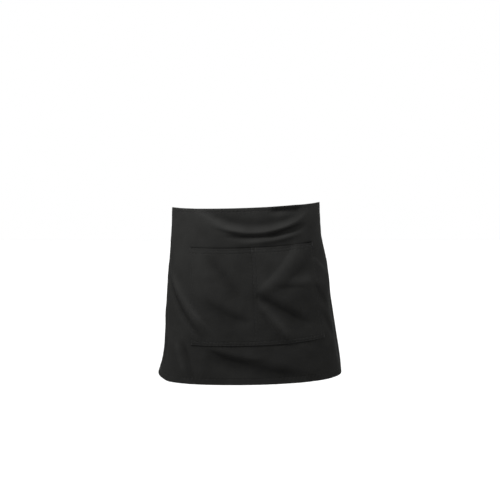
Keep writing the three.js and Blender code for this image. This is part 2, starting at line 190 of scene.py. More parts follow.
def along(rows, column, at):
    """A smooth curve through one column of a table, at places down it."""
    xs, ys = rows["down"], rows[column]
    i = np.clip(np.searchsorted(xs, at, side="left") - 1, 0, len(xs) - 2)
    slope = np.empty(len(xs))
    slope[1:-1] = (ys[2:] - ys[:-2]) / (xs[2:] - xs[:-2])
    slope[0] = (ys[1] - ys[0]) / (xs[1] - xs[0])
    slope[-1] = (ys[-1] - ys[-2]) / (xs[-1] - xs[-2])
    length = xs[i + 1] - xs[i]
    t = np.clip((at - xs[i]) / length, 0, 1)
    start = (1 + 2 * t) * (1 - t) ** 2 * ys[i] + t * (1 - t) ** 2 * length * slope[i]
    end = t * t * (3 - 2 * t) * ys[i + 1] + t * t * (t - 1) * length * slope[i + 1]
    return start + end


# The smooth hang

SECTION_STEPS = 720


def plan_curve(share):
    """The plan curve at one level: x, y and the distance round it from its front."""
    left = along(LEVELS, "left", share) * WAIST_WIDTH / 2
    right = along(LEVELS, "right", share) * WAIST_WIDTH / 2
    depth = along(LEVELS, "depth", share) * WAIST_DEPTH / 2
    angle = np.linspace(-math.pi, math.pi, SECTION_STEPS + 1)
    box = np.where(angle < 0, along(LEVELS, "box_left", share), along(LEVELS, "box_right", share))
    middle, half = (right - left) / 2, (right + left) / 2
    radius = (np.abs(np.cos(angle) / depth) ** box + np.abs(np.sin(angle) / half) ** box) ** (-1 / box)
    x, y = middle + radius * np.sin(angle), -radius * np.cos(angle)
    s = np.concatenate([[0], np.cumsum(np.hypot(np.diff(x), np.diff(y)))])
    return x, y, s - s[SECTION_STEPS // 2]


def height_at(share, x, y):
    """The height of the smooth hang over a point of one level's plan curve."""
    bow = along(LEVELS, "bow", share) * CLOTH_LENGTH * (x / (WAIST_WIDTH / 2 * BOW_REACH)) ** 2
    fall = BACK_FALL * (np.hypot(y, FALL_ROUND) + y) * (1 - share) / 2
    turn = ease((-x / (WAIST_WIDTH / 2) - RISE_START) / RISE_REACH)
    corner = LEFT_RISE * CLOTH_LENGTH * share**8 * turn
    return along(LEVELS, "tilt", share) * x + bow + corner - fall - HANG * CLOTH_LENGTH * share


def hang_grid(u, v):
    """Points of the smooth hang: u across the cloth, a row for each v down it."""
    points = np.empty(u.shape + (3,))
    for i, down in enumerate(v):
        share = down / CLOTH_LENGTH
        x, y, s = plan_curve(share)
        distance = u[i] * (1 + HEM_FLARE / CLOTH_WIDTH * share) + SEAM_OFFSET
        points[i, :, 0] = np.interp(distance, s, x)
        points[i, :, 1] = np.interp(distance, s, y)
        points[i, :, 2] = height_at(share, points[i, :, 0], points[i, :, 1])
    return points


def grid_normals(points):
    """Unit normals of a grid of points, out of the apron."""
    down = np.gradient(points, axis=0)
    across = np.gradient(points, axis=1)
    return unit(np.cross(down, across))


# Folds, waves and seams

def fold_rise(u, v):
    """The height of the folds, and how near each place is to a crest (1) or a hollow (-1)."""
    rise, crest = np.zeros(u.shape), np.zeros(u.shape)
    for row in zip(*FOLDS.values()):
        across, down, to_across, to_down, sag, over, under, height = row
        u0, v0 = across * HALF_CLOTH, down * CLOTH_LENGTH
        du, dv = to_across * HALF_CLOTH - u0, to_down * CLOTH_LENGTH - v0
        length = math.hypot(du, dv)
        t = ((u - u0) * du + (v - v0) * dv) / length**2
        aside = ((v - v0) * du - (u - u0) * dv) / length * math.copysign(1, du)
        offset = aside - sag * CLOTH_LENGTH * 4 * t * (1 - t)
        width = np.where(offset < 0, over, under) * CLOTH_LENGTH
        shape = ease(t / FOLD_FADE) * ease((1 - t) / FOLD_FADE) * np.exp(-((offset / width) ** 2))
        rise += height * CLOTH_LENGTH * shape
        crest += height / FULL_FOLD * shape
    return rise, np.clip(crest, -1, 1)


def wave_height(u, v):
    """The height of the seeded waves."""
    dice = np.random.default_rng(WAVE_SEED)
    total = np.zeros(u.shape)
    for count, shortest, longest, height in zip(*WAVES.values()):
        for _ in range(int(count)):
            turn, phase = dice.uniform(0, math.pi), dice.uniform(0, 2 * math.pi)
            length = dice.uniform(shortest, longest)
            run = (u * math.cos(turn) + v * math.sin(turn)) * 2 * math.pi / length
            total += height * 2 / math.sqrt(count) * np.cos(run + phase) * length / longest
    return total


# Lines of stitches, a row for each in millimetres on the flat cloth: its two ends, how deep it
# draws the cloth in, and the height of the puckers beside it
top_row, low_row = TOP_HEM - HEM_STITCH, CLOTH_LENGTH - LOW_HEM + HEM_STITCH
side_row = HALF_CLOTH - SIDE_HEM + HEM_STITCH
PANEL_SEAMS = [
    ((-HALF_CLOTH, top_row), (HALF_CLOTH, top_row), 0.35, 0.30),
    ((-HALF_CLOTH, low_row), (HALF_CLOTH, low_row), 0.35, 0.42),
    ((-side_row, 0), (-side_row, CLOTH_LENGTH), 0.35, 0.35),
    ((side_row, 0), (side_row, CLOTH_LENGTH), 0.35, 0.35),
]

mouth_top, mouth_low = (POCKET_DROP + row for row in MOUTH_ROWS)
centre_end = POCKET_BOTTOM - SIDE_ROWS[0]
POCKET_SEAMS = [
    ((-HALF_POCKET, mouth_top), (HALF_POCKET, mouth_top), 0.3, 0.16),
    ((-HALF_POCKET, mouth_low), (HALF_POCKET, mouth_low), 0.4, 0.32),
    ((-SEAM_HALF, POCKET_DROP), (-SEAM_HALF, centre_end), 0.24, 0.17),
    ((SEAM_HALF, POCKET_DROP), (SEAM_HALF, centre_end), 0.24, 0.17),
]
for inset in SIDE_ROWS:
    side, base = HALF_POCKET - inset, POCKET_BOTTOM - inset
    POCKET_SEAMS += [
        ((-side, POCKET_DROP), (-side, base), 0.2, 0.14),
        ((side, POCKET_DROP), (side, base), 0.2, 0.14),
        ((-side, base), (side, base), 0.35, 0.32),
    ]

THROUGH_SEAMS = POCKET_SEAMS[len(MOUTH_ROWS):]  # these rows go through the panel too

CROSS_INSET = 3.0  # the crossed square lies this far inside the lap


def crossed_square(near, far, top, low):
    """The square of stitches with a cross in it that holds each tie to its lap."""
    ends = [
        ((near, top), (far, top)),
        ((near, low), (far, low)),
        ((near, top), (near, low)),
        ((far, top), (far, low)),
        ((near, top), (far, low)),
        ((far, top), (near, low)),
    ]
    return [(start, end, 0.3, 0.1) for start, end in ends]


cross_in, cross_out = HALF_CLOTH - TIE_LAP + CROSS_INSET, HALF_CLOTH - CROSS_INSET
cross_top, cross_low = TIE_INSET + CROSS_INSET, TIE_INSET + TIE_WIDTH - CROSS_INSET
CROSS_SEAMS = crossed_square(cross_in, cross_out, cross_top, cross_low)
CROSS_SEAMS += crossed_square(-cross_in, -cross_out, cross_top, cross_low)

GROOVE = 1.1  # half the width of the groove along a line of stitches
PUCKER_REACH = 7.5  # how far puckers run from their seam
PUCKER_STEP = 8.5  # from one pucker to the next
SEAM_FADE = 3.0  # a groove runs out over this far past its last stitch


def seam_relief(seams, u, v):
    """Grooves along lines of stitches, and the puckers across them."""
    total = np.zeros(u.shape)
    for number, ((u0, v0), (u1, v1), depth, pucker) in enumerate(seams):
        du, dv = u1 - u0, v1 - v0
        length = math.hypot(du, dv)
        run = ((u - u0) * du + (v - v0) * dv) / length
        aside = ((v - v0) * du - (u - u0) * dv) / length
        within = ease((run + SEAM_FADE) / SEAM_FADE) * ease((length + SEAM_FADE - run) / SEAM_FADE)
        # the puckers' spacing drifts and their height swells along the seam
        drift = 1.4 * np.sin(run / 23 + number) + 1.1 * np.sin(run / 61 + 2 * number)
        swell = 0.6 + 0.4 * np.sin(run / 37 + 3 * number)
        wave = np.sin(2 * math.pi * (run + 0.35 * aside) / PUCKER_STEP + drift)
        total -= within * depth * np.exp(-((aside / GROOVE) ** 2))
        total += within * pucker * swell * wave * np.exp(-np.abs(aside) / PUCKER_REACH)
    return total


RIM_ROUND = 0.96  # the rim keeps the rest of its thickness
TURN_STEP = 1.6  # the wall thins over this far at the end of a turned edge


def round_edge(distance, radius):
    """How far a face draws in near a folded edge."""
    inside = np.clip(distance, 0, radius)
    return RIM_ROUND * (radius - np.sqrt(np.maximum(radius**2 - (radius - inside) ** 2, 0)))


def turned(distance, width):
    """One within a turned edge of this width, and nothing past it."""
    return ease((width + TURN_STEP / 2 - distance) / TURN_STEP)


def worn(distance, reach):
    """Falls off from an edge: fading along an edge, and painted shade along the pocket's mouth."""
    return np.exp(-((distance / reach) ** 2))


# Grids of places on the cloth

AROUND_SEAM = (-2.6, -1.5, -0.8, 0.0, 0.8, 1.5, 2.6)
INSIDE_EDGE = (0.0, 0.2, 0.55, 1.1, 2.0)
CLOSEST = 0.15  # fine places lie no nearer than this
CROWDED = 0.45  # a coarse place this share of a step from a fine one is left out


def stations(anchors, step, edges=(), seams=()):
    """Places between anchors, closer together at folded edges and along seams."""
    coarse = []
    for a, b in zip(anchors, anchors[1:]):
        coarse += list(np.linspace(a, b, max(1, math.ceil((b - a) / step)) + 1))
    low, high = anchors[0], anchors[-1]
    fine = [seam + d for seam in seams for d in AROUND_SEAM]
    for edge in edges:
        inward = 1 if edge < (low + high) / 2 else -1
        fine += [edge + inward * d for d in INSIDE_EDGE]
    kept = []
    for place in sorted(set(round(f, 3) for f in fine if low <= f <= high)):
        if not kept or place - kept[-1] > CLOSEST:
            kept.append(place)
    spare = np.array(kept + [high + 2 * step])
    coarse = [c for c in coarse if np.abs(spare - c).min() > step * CROWDED]
    return np.array(sorted(set(coarse) | set(kept)))


def across_at(columns, v):
    """Where the columns lie at each level: the lower right of the pocket is drawn out."""
    spread = POCKET_SPREAD * np.clip((v - POCKET_DROP) / POCKET_LENGTH, 0, 1)
    knots = [-HALF_CLOTH, 0, HALF_POCKET, HALF_CLOTH]
    rows = [np.interp(columns, knots, [-HALF_CLOTH, 0, HALF_POCKET + s, HALF_CLOTH]) for s in spread]
    return np.array(rows)


class Sheet:
    """A sheet of cloth: two faces over one grid of places, and a way to find points on them."""

    def __init__(self, columns, rows, outer, inner):
        self.columns, self.rows = columns, rows
        self.faces = {"outer": outer, "inner": inner}
        self.normals = {"outer": grid_normals(outer), "inner": -grid_normals(inner)}

    def at(self, across, down, face):
        """The points and normals at places between the grid's own."""
        i = np.clip(np.searchsorted(self.rows, down, side="right") - 1, 0, len(self.rows) - 2)
        j = np.clip(np.searchsorted(self.columns, across, side="right") - 1, 0, len(self.columns) - 2)
        t = ((down - self.rows[i]) / (self.rows[i + 1] - self.rows[i]))[..., None]
        s = ((across - self.columns[j]) / (self.columns[j + 1] - self.columns[j]))[..., None]
        found = []
        for grid in (self.faces[face], self.normals[face]):
            top = mix(grid[i, j], grid[i, j + 1], s)
            low = mix(grid[i + 1, j], grid[i + 1, j + 1], s)
            found.append(mix(top, low, t))
        return found[0], unit(found[1])


def hung_sheet(columns, rows, out, wall):
    """A sheet that follows the hang, with its outer face so far out and its wall so thick."""
    u = across_at(columns, rows)
    v = np.repeat(rows[:, None], len(columns), axis=1)
    base = hang_grid(u, rows)
    lift = fold_rise(u, v)[0] + wave_height(u, v)
    folded = base + grid_normals(base) * lift[..., None]
    normal = grid_normals(folded)
    outer, inner = (folded + normal * far[..., None] for far in (out, out - wall))
    return Sheet(columns, rows, outer, inner)


# Meshes

def mesh_object(name, points, faces, uv, wear_and_painted_light=None):
    """A mesh from points in millimetres, with its place on the cloth as UV in metres."""
    mesh = bpy.data.meshes.new(name)
    mesh.from_pydata((np.asarray(points) * MM).tolist(), [], faces)
    mesh.update()
    corners = np.empty(len(mesh.loops), int)
    mesh.loops.foreach_get("vertex_index", corners)
    layer = mesh.uv_layers.new(name="cloth")
    layer.data.foreach_set("uv", (np.asarray(uv)[corners] * MM).ravel().astype(np.float32))
    # a point attribute of faded edges together with painted highlights and painted shade
    amount = np.zeros(len(points)) if wear_and_painted_light is None else wear_and_painted_light
    mesh.attributes.new("wear_and_painted_light", "FLOAT", "POINT").data.foreach_set("value", amount.astype(np.float32))
    mesh.polygons.foreach_set("use_smooth", np.full(len(mesh.polygons), True))
    piece = bpy.data.objects.new(name, mesh)
    bpy.context.scene.collection.objects.link(piece)
    return piece


def wall_faces(rows, columns):
    """The faces of a wall between two grids, closed round its rim."""
    index = np.arange(rows * columns).reshape(rows, columns)
    a, b, c, d = index[:-1, :-1], index[1:, :-1], index[1:, 1:], index[:-1, 1:]
    offset = rows * columns
    outer = np.stack([a, b, c, d], -1).reshape(-1, 4)
    inner = np.stack([a, d, c, b], -1).reshape(-1, 4) + offset
    rim = np.concatenate([index[0, :-1], index[:-1, -1], index[-1, :0:-1], index[:0:-1, 0]])
    after = np.roll(rim, -1)
    edge = np.stack([rim, after, after + offset, rim + offset], -1)
    return np.concatenate([outer, inner, edge]).tolist()


def sheet_object(name, sheet, uv, wear_and_painted_light, inner_wear_and_painted_light=None):
    rows, columns = uv.shape[:2]
    points = np.concatenate([sheet.faces[face].reshape(-1, 3) for face in ("outer", "inner")])
    behind = wear_and_painted_light * 0.4 if inner_wear_and_painted_light is None else inner_wear_and_painted_light
    both = np.concatenate([wear_and_painted_light.ravel(), behind.ravel()])
    twice = np.concatenate([uv.reshape(-1, 2)] * 2)
    return mesh_object(name, points, wall_faces(rows, columns), twice, both)


def tube_faces(count, sides, closed):
    """The faces of rings joined into a tube, which closes on itself or has a cap at each end."""
    index = np.arange(count * sides).reshape(count, sides)
    ring = index if closed else index[:-1]
    after = np.roll(index, -1, axis=0) if closed else index[1:]
    quads = np.stack([ring, np.roll(ring, -1, axis=1), np.roll(after, -1, axis=1), after], -1)
    faces = quads.reshape(-1, 4).tolist()
    if not closed:
        faces += [index[0, ::-1].tolist(), index[-1].tolist()]
    return faces


# The panel

PANEL_STEP = 2.8
MOUTH_SHADE = 2.9  # painted shade starts this far above the pocket's mouth
# how dark the painted shade in and just above the pocket's mouth is
MOUTH_SHADE_DEPTH = 1.6
# how much painted highlight fold crests get and how much painted shade hollows get
FOLD_HIGHLIGHT_AND_SHADE = 0.6
EDGE_REACH = 1.6  # how far a hem's edge is faded
PUCKERS_BESIDE = 0.9  # the share of the pocket's puckers that the panel beside it takes


def make_panel():
    columns = stations(
        [-HALF_CLOTH, -HALF_POCKET, 0, HALF_POCKET, HALF_CLOTH],
        PANEL_STEP,
        edges=[-HALF_CLOTH, HALF_CLOTH],
        seams=[-side_row, side_row],
    )
    rows = stations(
        [0, POCKET_DROP, POCKET_BOTTOM, CLOTH_LENGTH],
        PANEL_STEP,
        edges=[0, CLOTH_LENGTH],
        seams=[top_row, low_row],
    )
    u, v = np.meshgrid(columns, rows)
    side, end = HALF_CLOTH - np.abs(u), np.minimum(v, CLOTH_LENGTH - v)
    edge = np.minimum(side, end)
    behind_pocket = (np.abs(u) < HALF_POCKET) & (v > POCKET_DROP) & (v < POCKET_BOTTOM)
    # painted shade on the panel behind the pocket, from just above its mouth down
    mouth_shade_mask = ease((HALF_POCKET - np.abs(u)) / 2) * ease((v - POCKET_DROP + MOUTH_SHADE) / 1.5)
    mouth_shade_mask *= ease((POCKET_BOTTOM - v) / 2)
    relief = seam_relief(PANEL_SEAMS + CROSS_SEAMS, u, v)
    relief += np.where(behind_pocket, 0, PUCKERS_BESIDE * seam_relief(POCKET_SEAMS, u, v))
    in_hem = np.maximum(turned(v, TOP_HEM), turned(CLOTH_LENGTH - v, LOW_HEM))
    in_hem = np.maximum(in_hem, turned(side, SIDE_HEM))
    drawn_in = round_edge(edge, HEM_WALL / 2)
    wall = mix(CLOTH_WALL, HEM_WALL, in_hem) - 2 * drawn_in
    sheet = hung_sheet(columns, rows, relief - drawn_in, wall)
    # faded hem edges, lighter pucker ridges and darker seam grooves, and painted shade in and just
    # above the pocket's mouth
    wear_and_painted_light = worn(edge, EDGE_REACH) + 0.5 * np.clip(relief / 0.4, -0.6, 1) - MOUTH_SHADE_DEPTH * mouth_shade_mask
    # painted highlight along fold crests and painted shade along hollows
    wear_and_painted_light += FOLD_HIGHLIGHT_AND_SHADE * fold_rise(u, v)[1]
    piece = sheet_object("panel_cloth", sheet, np.stack([u, -v], -1), wear_and_painted_light, worn(edge, EDGE_REACH))
    return piece, sheet


# The pocket

POCKET_STEP = 2.3
# painted shade on the pocket's inner face, inside the pocket
POCKET_INSIDE_SHADE = -0.9


def pocket_gape(across, v):
    """How far each compartment stands off the panel: most at its mouth, nothing at its seams."""
    compartment = np.abs(across) / HALF_POCKET
    seam = SEAM_HALF / HALF_POCKET
    place = np.clip((compartment - seam) / (1 - 2 * seam), 0, 1)
    depth = np.clip((v - POCKET_DROP) / POCKET_LENGTH, 0, 1)
    return POCKET_GAPE * np.sin(math.pi * place) ** 0.75 * (1 - depth**1.6)


def make_pocket():
    side_rows = [hand * (HALF_POCKET - inset) for inset in SIDE_ROWS for hand in (-1, 1)]
    columns = stations(
        [-HALF_POCKET, 0, HALF_POCKET],
        POCKET_STEP,
        edges=[-HALF_POCKET, HALF_POCKET],
        seams=side_rows + [-SEAM_HALF, SEAM_HALF],
    )
    rows = stations(
        [POCKET_DROP, POCKET_BOTTOM],
        POCKET_STEP,
        edges=[POCKET_DROP, POCKET_BOTTOM],
        seams=[POCKET_DROP + r for r in MOUTH_ROWS] + [POCKET_BOTTOM - r for r in SIDE_ROWS],
    )
    u, v = np.meshgrid(columns, rows)
    side, from_mouth, from_base = HALF_POCKET - np.abs(u), v - POCKET_DROP, POCKET_BOTTOM - v
    edge = np.minimum(np.minimum(side, from_mouth), from_base)
    relief = seam_relief(POCKET_SEAMS, u, v)
    allowance = SIDE_ROWS[1] + 2
    doubled = np.maximum(turned(from_mouth, MOUTH_HEM), turned(from_base, allowance))
    doubled = np.maximum(doubled, turned(side, allowance))
    doubled = np.maximum(doubled, turned(np.abs(u), SEAM_HALF + 1))
    drawn_in = round_edge(edge, POCKET_EDGE / 2)
    out = SEAT_GAP + POCKET_EDGE + pocket_gape(u, v) + relief - drawn_in
    wall = mix(POCKET_WALL, POCKET_EDGE, doubled) - 2 * drawn_in
    sheet = hung_sheet(columns, rows, out, wall)
    wear_and_painted_light = 0.3 * worn(from_base, 1.4) + 0.3 * np.clip(relief / 0.35, -0.6, 1)
    # painted highlight on fold crests and painted shade in hollows, then painted shade along the
    # mouth's edge
    wear_and_painted_light += FOLD_HIGHLIGHT_AND_SHADE * fold_rise(across_at(columns, rows), v)[1] - MOUTH_SHADE_DEPTH * worn(from_mouth, 0.9)
    # the inner face inside the pocket takes painted shade
    inside = np.full(wear_and_painted_light.shape, POCKET_INSIDE_SHADE)
    piece = sheet_object("pocket_cloth", sheet, np.stack([u, -v], -1), wear_and_painted_light, inside)
    return piece, sheet


# Stitches

STITCH_RINGS = (-1.0, -0.62, 0.0, 0.62, 1.0)  # along a stitch, as shares of half its length
STITCH_RISE = (-0.8, 0.2, 0.65, 0.2, -0.8)  # off the cloth, in thread radii
STITCH_SIDES = 5
LINE_STEPS = 200  # a line of stitches is measured in this many steps


def stitch_object(name, centres, runs, normals, length, thread=THREAD):
    """One mesh of many stitches, each a short thread that dips into the cloth at both ends."""
    count, rings, sides = len(centres), len(STITCH_RINGS), STITCH_SIDES
    sideways = np.cross(normals, runs)
    angle = np.arange(sides) / sides * 2 * math.pi
    points = np.empty((count, rings, sides, 3))
    for k, (ring, rise) in enumerate(zip(STITCH_RINGS, STITCH_RISE)):
        middle = centres + runs * ring * length / 2 + normals * rise * thread
        radius = thread * (0.55 if abs(ring) == 1 else 1.0)
        for j, a in enumerate(angle):
            points[:, k, j] = middle + radius * (math.cos(a) * sideways + math.sin(a) * normals)
    one = tube_faces(rings, sides, closed=False)
    faces = [[i + n * rings * sides for i in face] for n in range(count) for face in one]
    flat = points.reshape(-1, 3)
    return mesh_object(name, flat, faces, flat[:, [0, 2]])


def stitches_on(sheet, seams, face):
    """The middle, direction and normal of each stitch along the seams of a sheet."""
    centres, runs, normals = [], [], []
    for (u0, v0), (u1, v1), _, _ in seams:
        t = np.linspace(0, 1, LINE_STEPS)
        line, _ = sheet.at(mix(u0, u1, t), mix(v0, v1, t), face)
        count = max(2, int(np.linalg.norm(np.diff(line, axis=0), axis=1).sum() / STITCH))
        t = (np.arange(count) + 0.5) / count
        step = 0.2 / count
        before, _ = sheet.at(mix(u0, u1, t - step), mix(v0, v1, t - step), face)
        after, _ = sheet.at(mix(u0, u1, t + step), mix(v0, v1, t + step), face)
        middle, normal = sheet.at(mix(u0, u1, t), mix(v0, v1, t), face)
        centres.append(middle)
        runs.append(unit(after - before))
        normals.append(normal)
    return np.concatenate(centres), np.concatenate(runs), np.concatenate(normals)


TACK_HEIGHT = 9.0
TACK_WIDTH = 2.6
TACK_COUNT = 20
TACK_THREAD = 0.3


def tack_threads(sheet, u, v):
    """A bar tack: short threads side by side across a corner of the pocket."""
    k = np.arange(TACK_COUNT)
    across, down = np.full(TACK_COUNT, u), v + (k / (TACK_COUNT - 1) - 0.5) * TACK_HEIGHT
    middle, normal = sheet.at(across, down, "outer")
    beside, _ = sheet.at(across + 1.0, down + 0.3 * (-1.0) ** k, "outer")
    return middle + normal * 0.2, unit(beside - middle), normal


# The ties, round the back of the waist

waist_x, waist_y, waist_s = plan_curve(0.0)
half_round = waist_s[-1]
tie_seat = -(HEM_WALL + SEAT_GAP + TIE_WALL / 2)
tie_middle = TIE_INSET + TIE_WIDTH / 2
TAPE_PLACES = 0.5 - np.array([
    1.0, 0.988, 0.965, 0.935, 0.915, 0.9, 0.885, 0.865, 0.8, 0.7, 0.6, 0.5,
    0.4, 0.3, 0.2, 0.135, 0.115, 0.1, 0.085, 0.065, 0.035, 0.012, 0.0,
])
TAPE_SEAM = 0.4  # the edge stitching of the tape, as a share of its width from its middle
TAPE_STEP = 2.2
WAIST_PROBE = 2.0  # the waist line's direction is taken over this far to each side
KNOT_OVERLAP = 1.5  # a tie runs this far into the knot
FREE_REACH = 30.0  # past the panel, a tie is slack after this far
SWAY, SWAY_LENGTH = 0.9, 31.0  # a slack tie's waves in and out
LEAN, LEAN_LENGTH = 2.2, 47.0  # and the twist of its edges
TIE_PLEATS, TIE_PLEAT_DEPTH = 3.5, 0.8
TAPE_EDGE_REACH = 1.1  # how far the tape's edges are faded
TAPE_WEAVE, TAIL_WEAVE = 700, 400  # where the weave starts on tapes and tails, so none lines up
KNOT_WEAVE = 900


def waist_points(distance, drop, out):
    """Points beside the waist line: a distance round it, a drop below it and a way out from it."""
    x, y = np.interp(distance, waist_s, waist_x), np.interp(distance, waist_s, waist_y)
    ahead = np.clip(distance + WAIST_PROBE, -half_round, half_round)
    behind = np.clip(distance - WAIST_PROBE, -half_round, half_round)
    dx = np.interp(ahead, waist_s, waist_x) - np.interp(behind, waist_s, waist_x)
    dy = np.interp(ahead, waist_s, waist_y) - np.interp(behind, waist_s, waist_y)
    size = np.hypot(dx, dy)
    z = height_at(0.0, x, y) - drop
    return np.stack([x + out * dy / size, y - out * dx / size, z], -1)


def tape_relief(share, run, phase):
    """The folded tape's own form: grooves at its edge stitching and slight puckers."""
    seam = np.abs(share) - TAPE_SEAM
    groove = -0.26 * np.exp(-((seam / 0.02) ** 2))
    pucker = 0.12 * np.sin(run * 2 * math.pi / 6.5 + phase) * np.exp(-np.abs(seam) / 0.12)
    return groove + pucker


def tape_object(name, run, outer, inner, width, edge, drift, lap=()):
    """A length of tape from its two faces, with its edge stitching on both and any lap's inside."""
    sheet = Sheet(run, TAPE_PLACES, outer, inner)
    sideways = TAPE_PLACES[:, None] * width + TAPE_WEAVE
    uv = np.stack([np.broadcast_to(run + drift, width.shape), sideways], -1)
    tape_piece = sheet_object(name, sheet, uv, worn(edge, TAPE_EDGE_REACH))
    rows = [((run[0], share), (run[-1], share), 0, 0) for share in (-TAPE_SEAM, TAPE_SEAM)]
    sewn = [stitches_on(sheet, rows, "outer"), stitches_on(sheet, [*rows, *lap], "inner")]
    return tape_piece, [np.concatenate(parts) for parts in zip(*sewn)]


def make_tie(name, hand):
    """A tie from its lap behind the panel to the knot, where it is gathered into pleats."""
    edge_run = HALF_CLOTH + hand * SEAM_OFFSET
    start, end = edge_run - TIE_LAP, half_round - KNOT_WIDTH / 2 + KNOT_OVERLAP
    run = np.append(np.arange(start, end, TAPE_STEP), end)
    share, distance = np.meshgrid(TAPE_PLACES, run, indexing="ij")
    drawn = ease((distance - (end - TIE_GATHER)) / TIE_GATHER)
    free = ease((distance - edge_run) / FREE_REACH) * (1 - drawn)
    width = mix(TIE_WIDTH, GATHERED_WIDTH, drawn)
    wall = mix(TIE_WALL, GATHERED_WALL, drawn)
    pleats = drawn * TIE_PLEAT_DEPTH * np.cos(share * 2 * math.pi * TIE_PLEATS + 0.4 * hand)
    sway = SWAY * np.sin((distance - start) / SWAY_LENGTH + hand) * free
    lean = LEAN * np.sin((distance - start) / LEAN_LENGTH + 2 * hand) * free
    edge = (0.5 - np.abs(share)) * width
    half = wall / 2 - round_edge(edge, TIE_WALL / 2) + tape_relief(share, distance, hand)
    drop = tie_middle + share * (width + lean)
    outer = waist_points(hand * distance, drop, tie_seat + sway + pleats + half)
    inner = waist_points(hand * distance, drop, tie_seat + sway + pleats - half)
    if hand < 0:
        outer, inner, run = outer[:, ::-1], inner[:, ::-1], -run[::-1]
        width, edge = width[:, ::-1], edge[:, ::-1]
    near, far = hand * (start + CROSS_INSET), hand * (edge_run - CROSS_INSET)
    lap = crossed_square(near, far, -TAPE_SEAM, TAPE_SEAM)[2:]
    return tape_object(name, run, outer, inner, width, edge, 0, lap)


# The knot and its loose ends

knot_tape = waist_points(np.array([half_round]), tie_middle, tie_seat)[0]
knot_middle = knot_tape + np.array([0, KNOT_BACK * KNOT_DEPTH, 0])

TAIL_ROUTE = table(
    ("down", "out", "back", "turn"),
    [
        (-0.06, 0.02, 0.0, 0.0),
        (0.08, 0.06, 0.03, 0.08),
        (0.25, 0.12, 0.055, 0.2),
        (0.5, 0.19, 0.04, 0.42),
        (0.75, 0.25, 0.015, 0.3),
        (1.0, 0.3, 0.03, 0.1),
    ],
)
TAIL_GATHER = 0.3  # the share of a tail that is still gathered below the knot
TAIL_STEPS = 80


def make_tail(name, hand):
    """A loose end of tape that hangs from the knot, with a small turned hem at its tip."""
    top = knot_middle[2] - KNOT_HEIGHT / 2
    start, tip = TAIL_ROUTE["down"][0] * TAIL_LENGTH, TAIL_LENGTH
    fold = [tip - d for d in (TAIL_HEM + 1.2, TAIL_HEM, TAIL_HEM - 1.2, 1.2, 0.7, 0.3)]
    run = np.sort(np.concatenate([np.linspace(start, tip, TAIL_STEPS), fold]))
    share, distance = np.meshgrid(TAPE_PLACES, run, indexing="ij")
    down = distance / TAIL_LENGTH
    out, back, turn = (along(TAIL_ROUTE, column, down) for column in ("out", "back", "turn"))
    gathered = 1 - ease(down / TAIL_GATHER)
    width = mix(TIE_WIDTH, GATHERED_WIDTH, gathered)
    edge = np.minimum((0.5 - np.abs(share)) * width, tip - distance)
    curl = 0.9 * (share * 2) ** 2 * np.sin(down * 9 + hand) + gathered * np.cos(share * 2 * math.pi * 3)
    relief = tape_relief(share, distance, hand) - 0.25 * worn(tip - distance - TAIL_HEM, 0.9)
    half = TIE_WALL / 2 - round_edge(edge, TIE_WALL / 2) + relief
    middle = np.stack([
        knot_middle[0] + hand * out * TAIL_LENGTH,
        knot_middle[1] + back * TAIL_LENGTH,
        top - distance,
    ], -1)
    across = np.stack([np.cos(hand * turn), np.sin(hand * turn), 0 * turn], -1)
    off = np.stack([-np.sin(hand * turn), np.cos(hand * turn), 0 * turn], -1)
    offset = (hand * 0.6 * TIE_WALL + curl)[..., None]
    line = middle + across * (share * width)[..., None] + off * offset
    faces = line + off * half[..., None], line - off * half[..., None]
    return tape_object(name, run, *faces, width, edge, TAIL_WEAVE * hand)


PLEAT_SIDES = 64
WRAP_STEPS = 144
WRAP_PLEATS, WRAP_PLEAT_DEPTH = 4.6, 0.42
WRAP_POWER = 2.4  # how square a wrap runs round the knot
THROAT_STEPS = 80
THROAT_HEIGHT, THROAT_DEPTH = 11.5, 5.6  # half the gathered cloth's size inside the knot


def pleated_section(width, wall, pleats, depth, shift):
    """The section of a gathered band: flat, rounded at its sides and pleated on its outer face."""
    a = np.linspace(0, 2 * math.pi, PLEAT_SIDES + 1)[:-1]
    x = np.sign(np.cos(a)) * np.abs(np.cos(a)) ** 0.6
    ridge = np.cos(math.pi * pleats * x[None] + shift[:, None]) * np.clip(np.sin(a), 0, 1) ** 0.5
    return x[None] * width[:, None] / 2, wall[:, None] / 2 * np.sin(a)[None] + depth * ridge


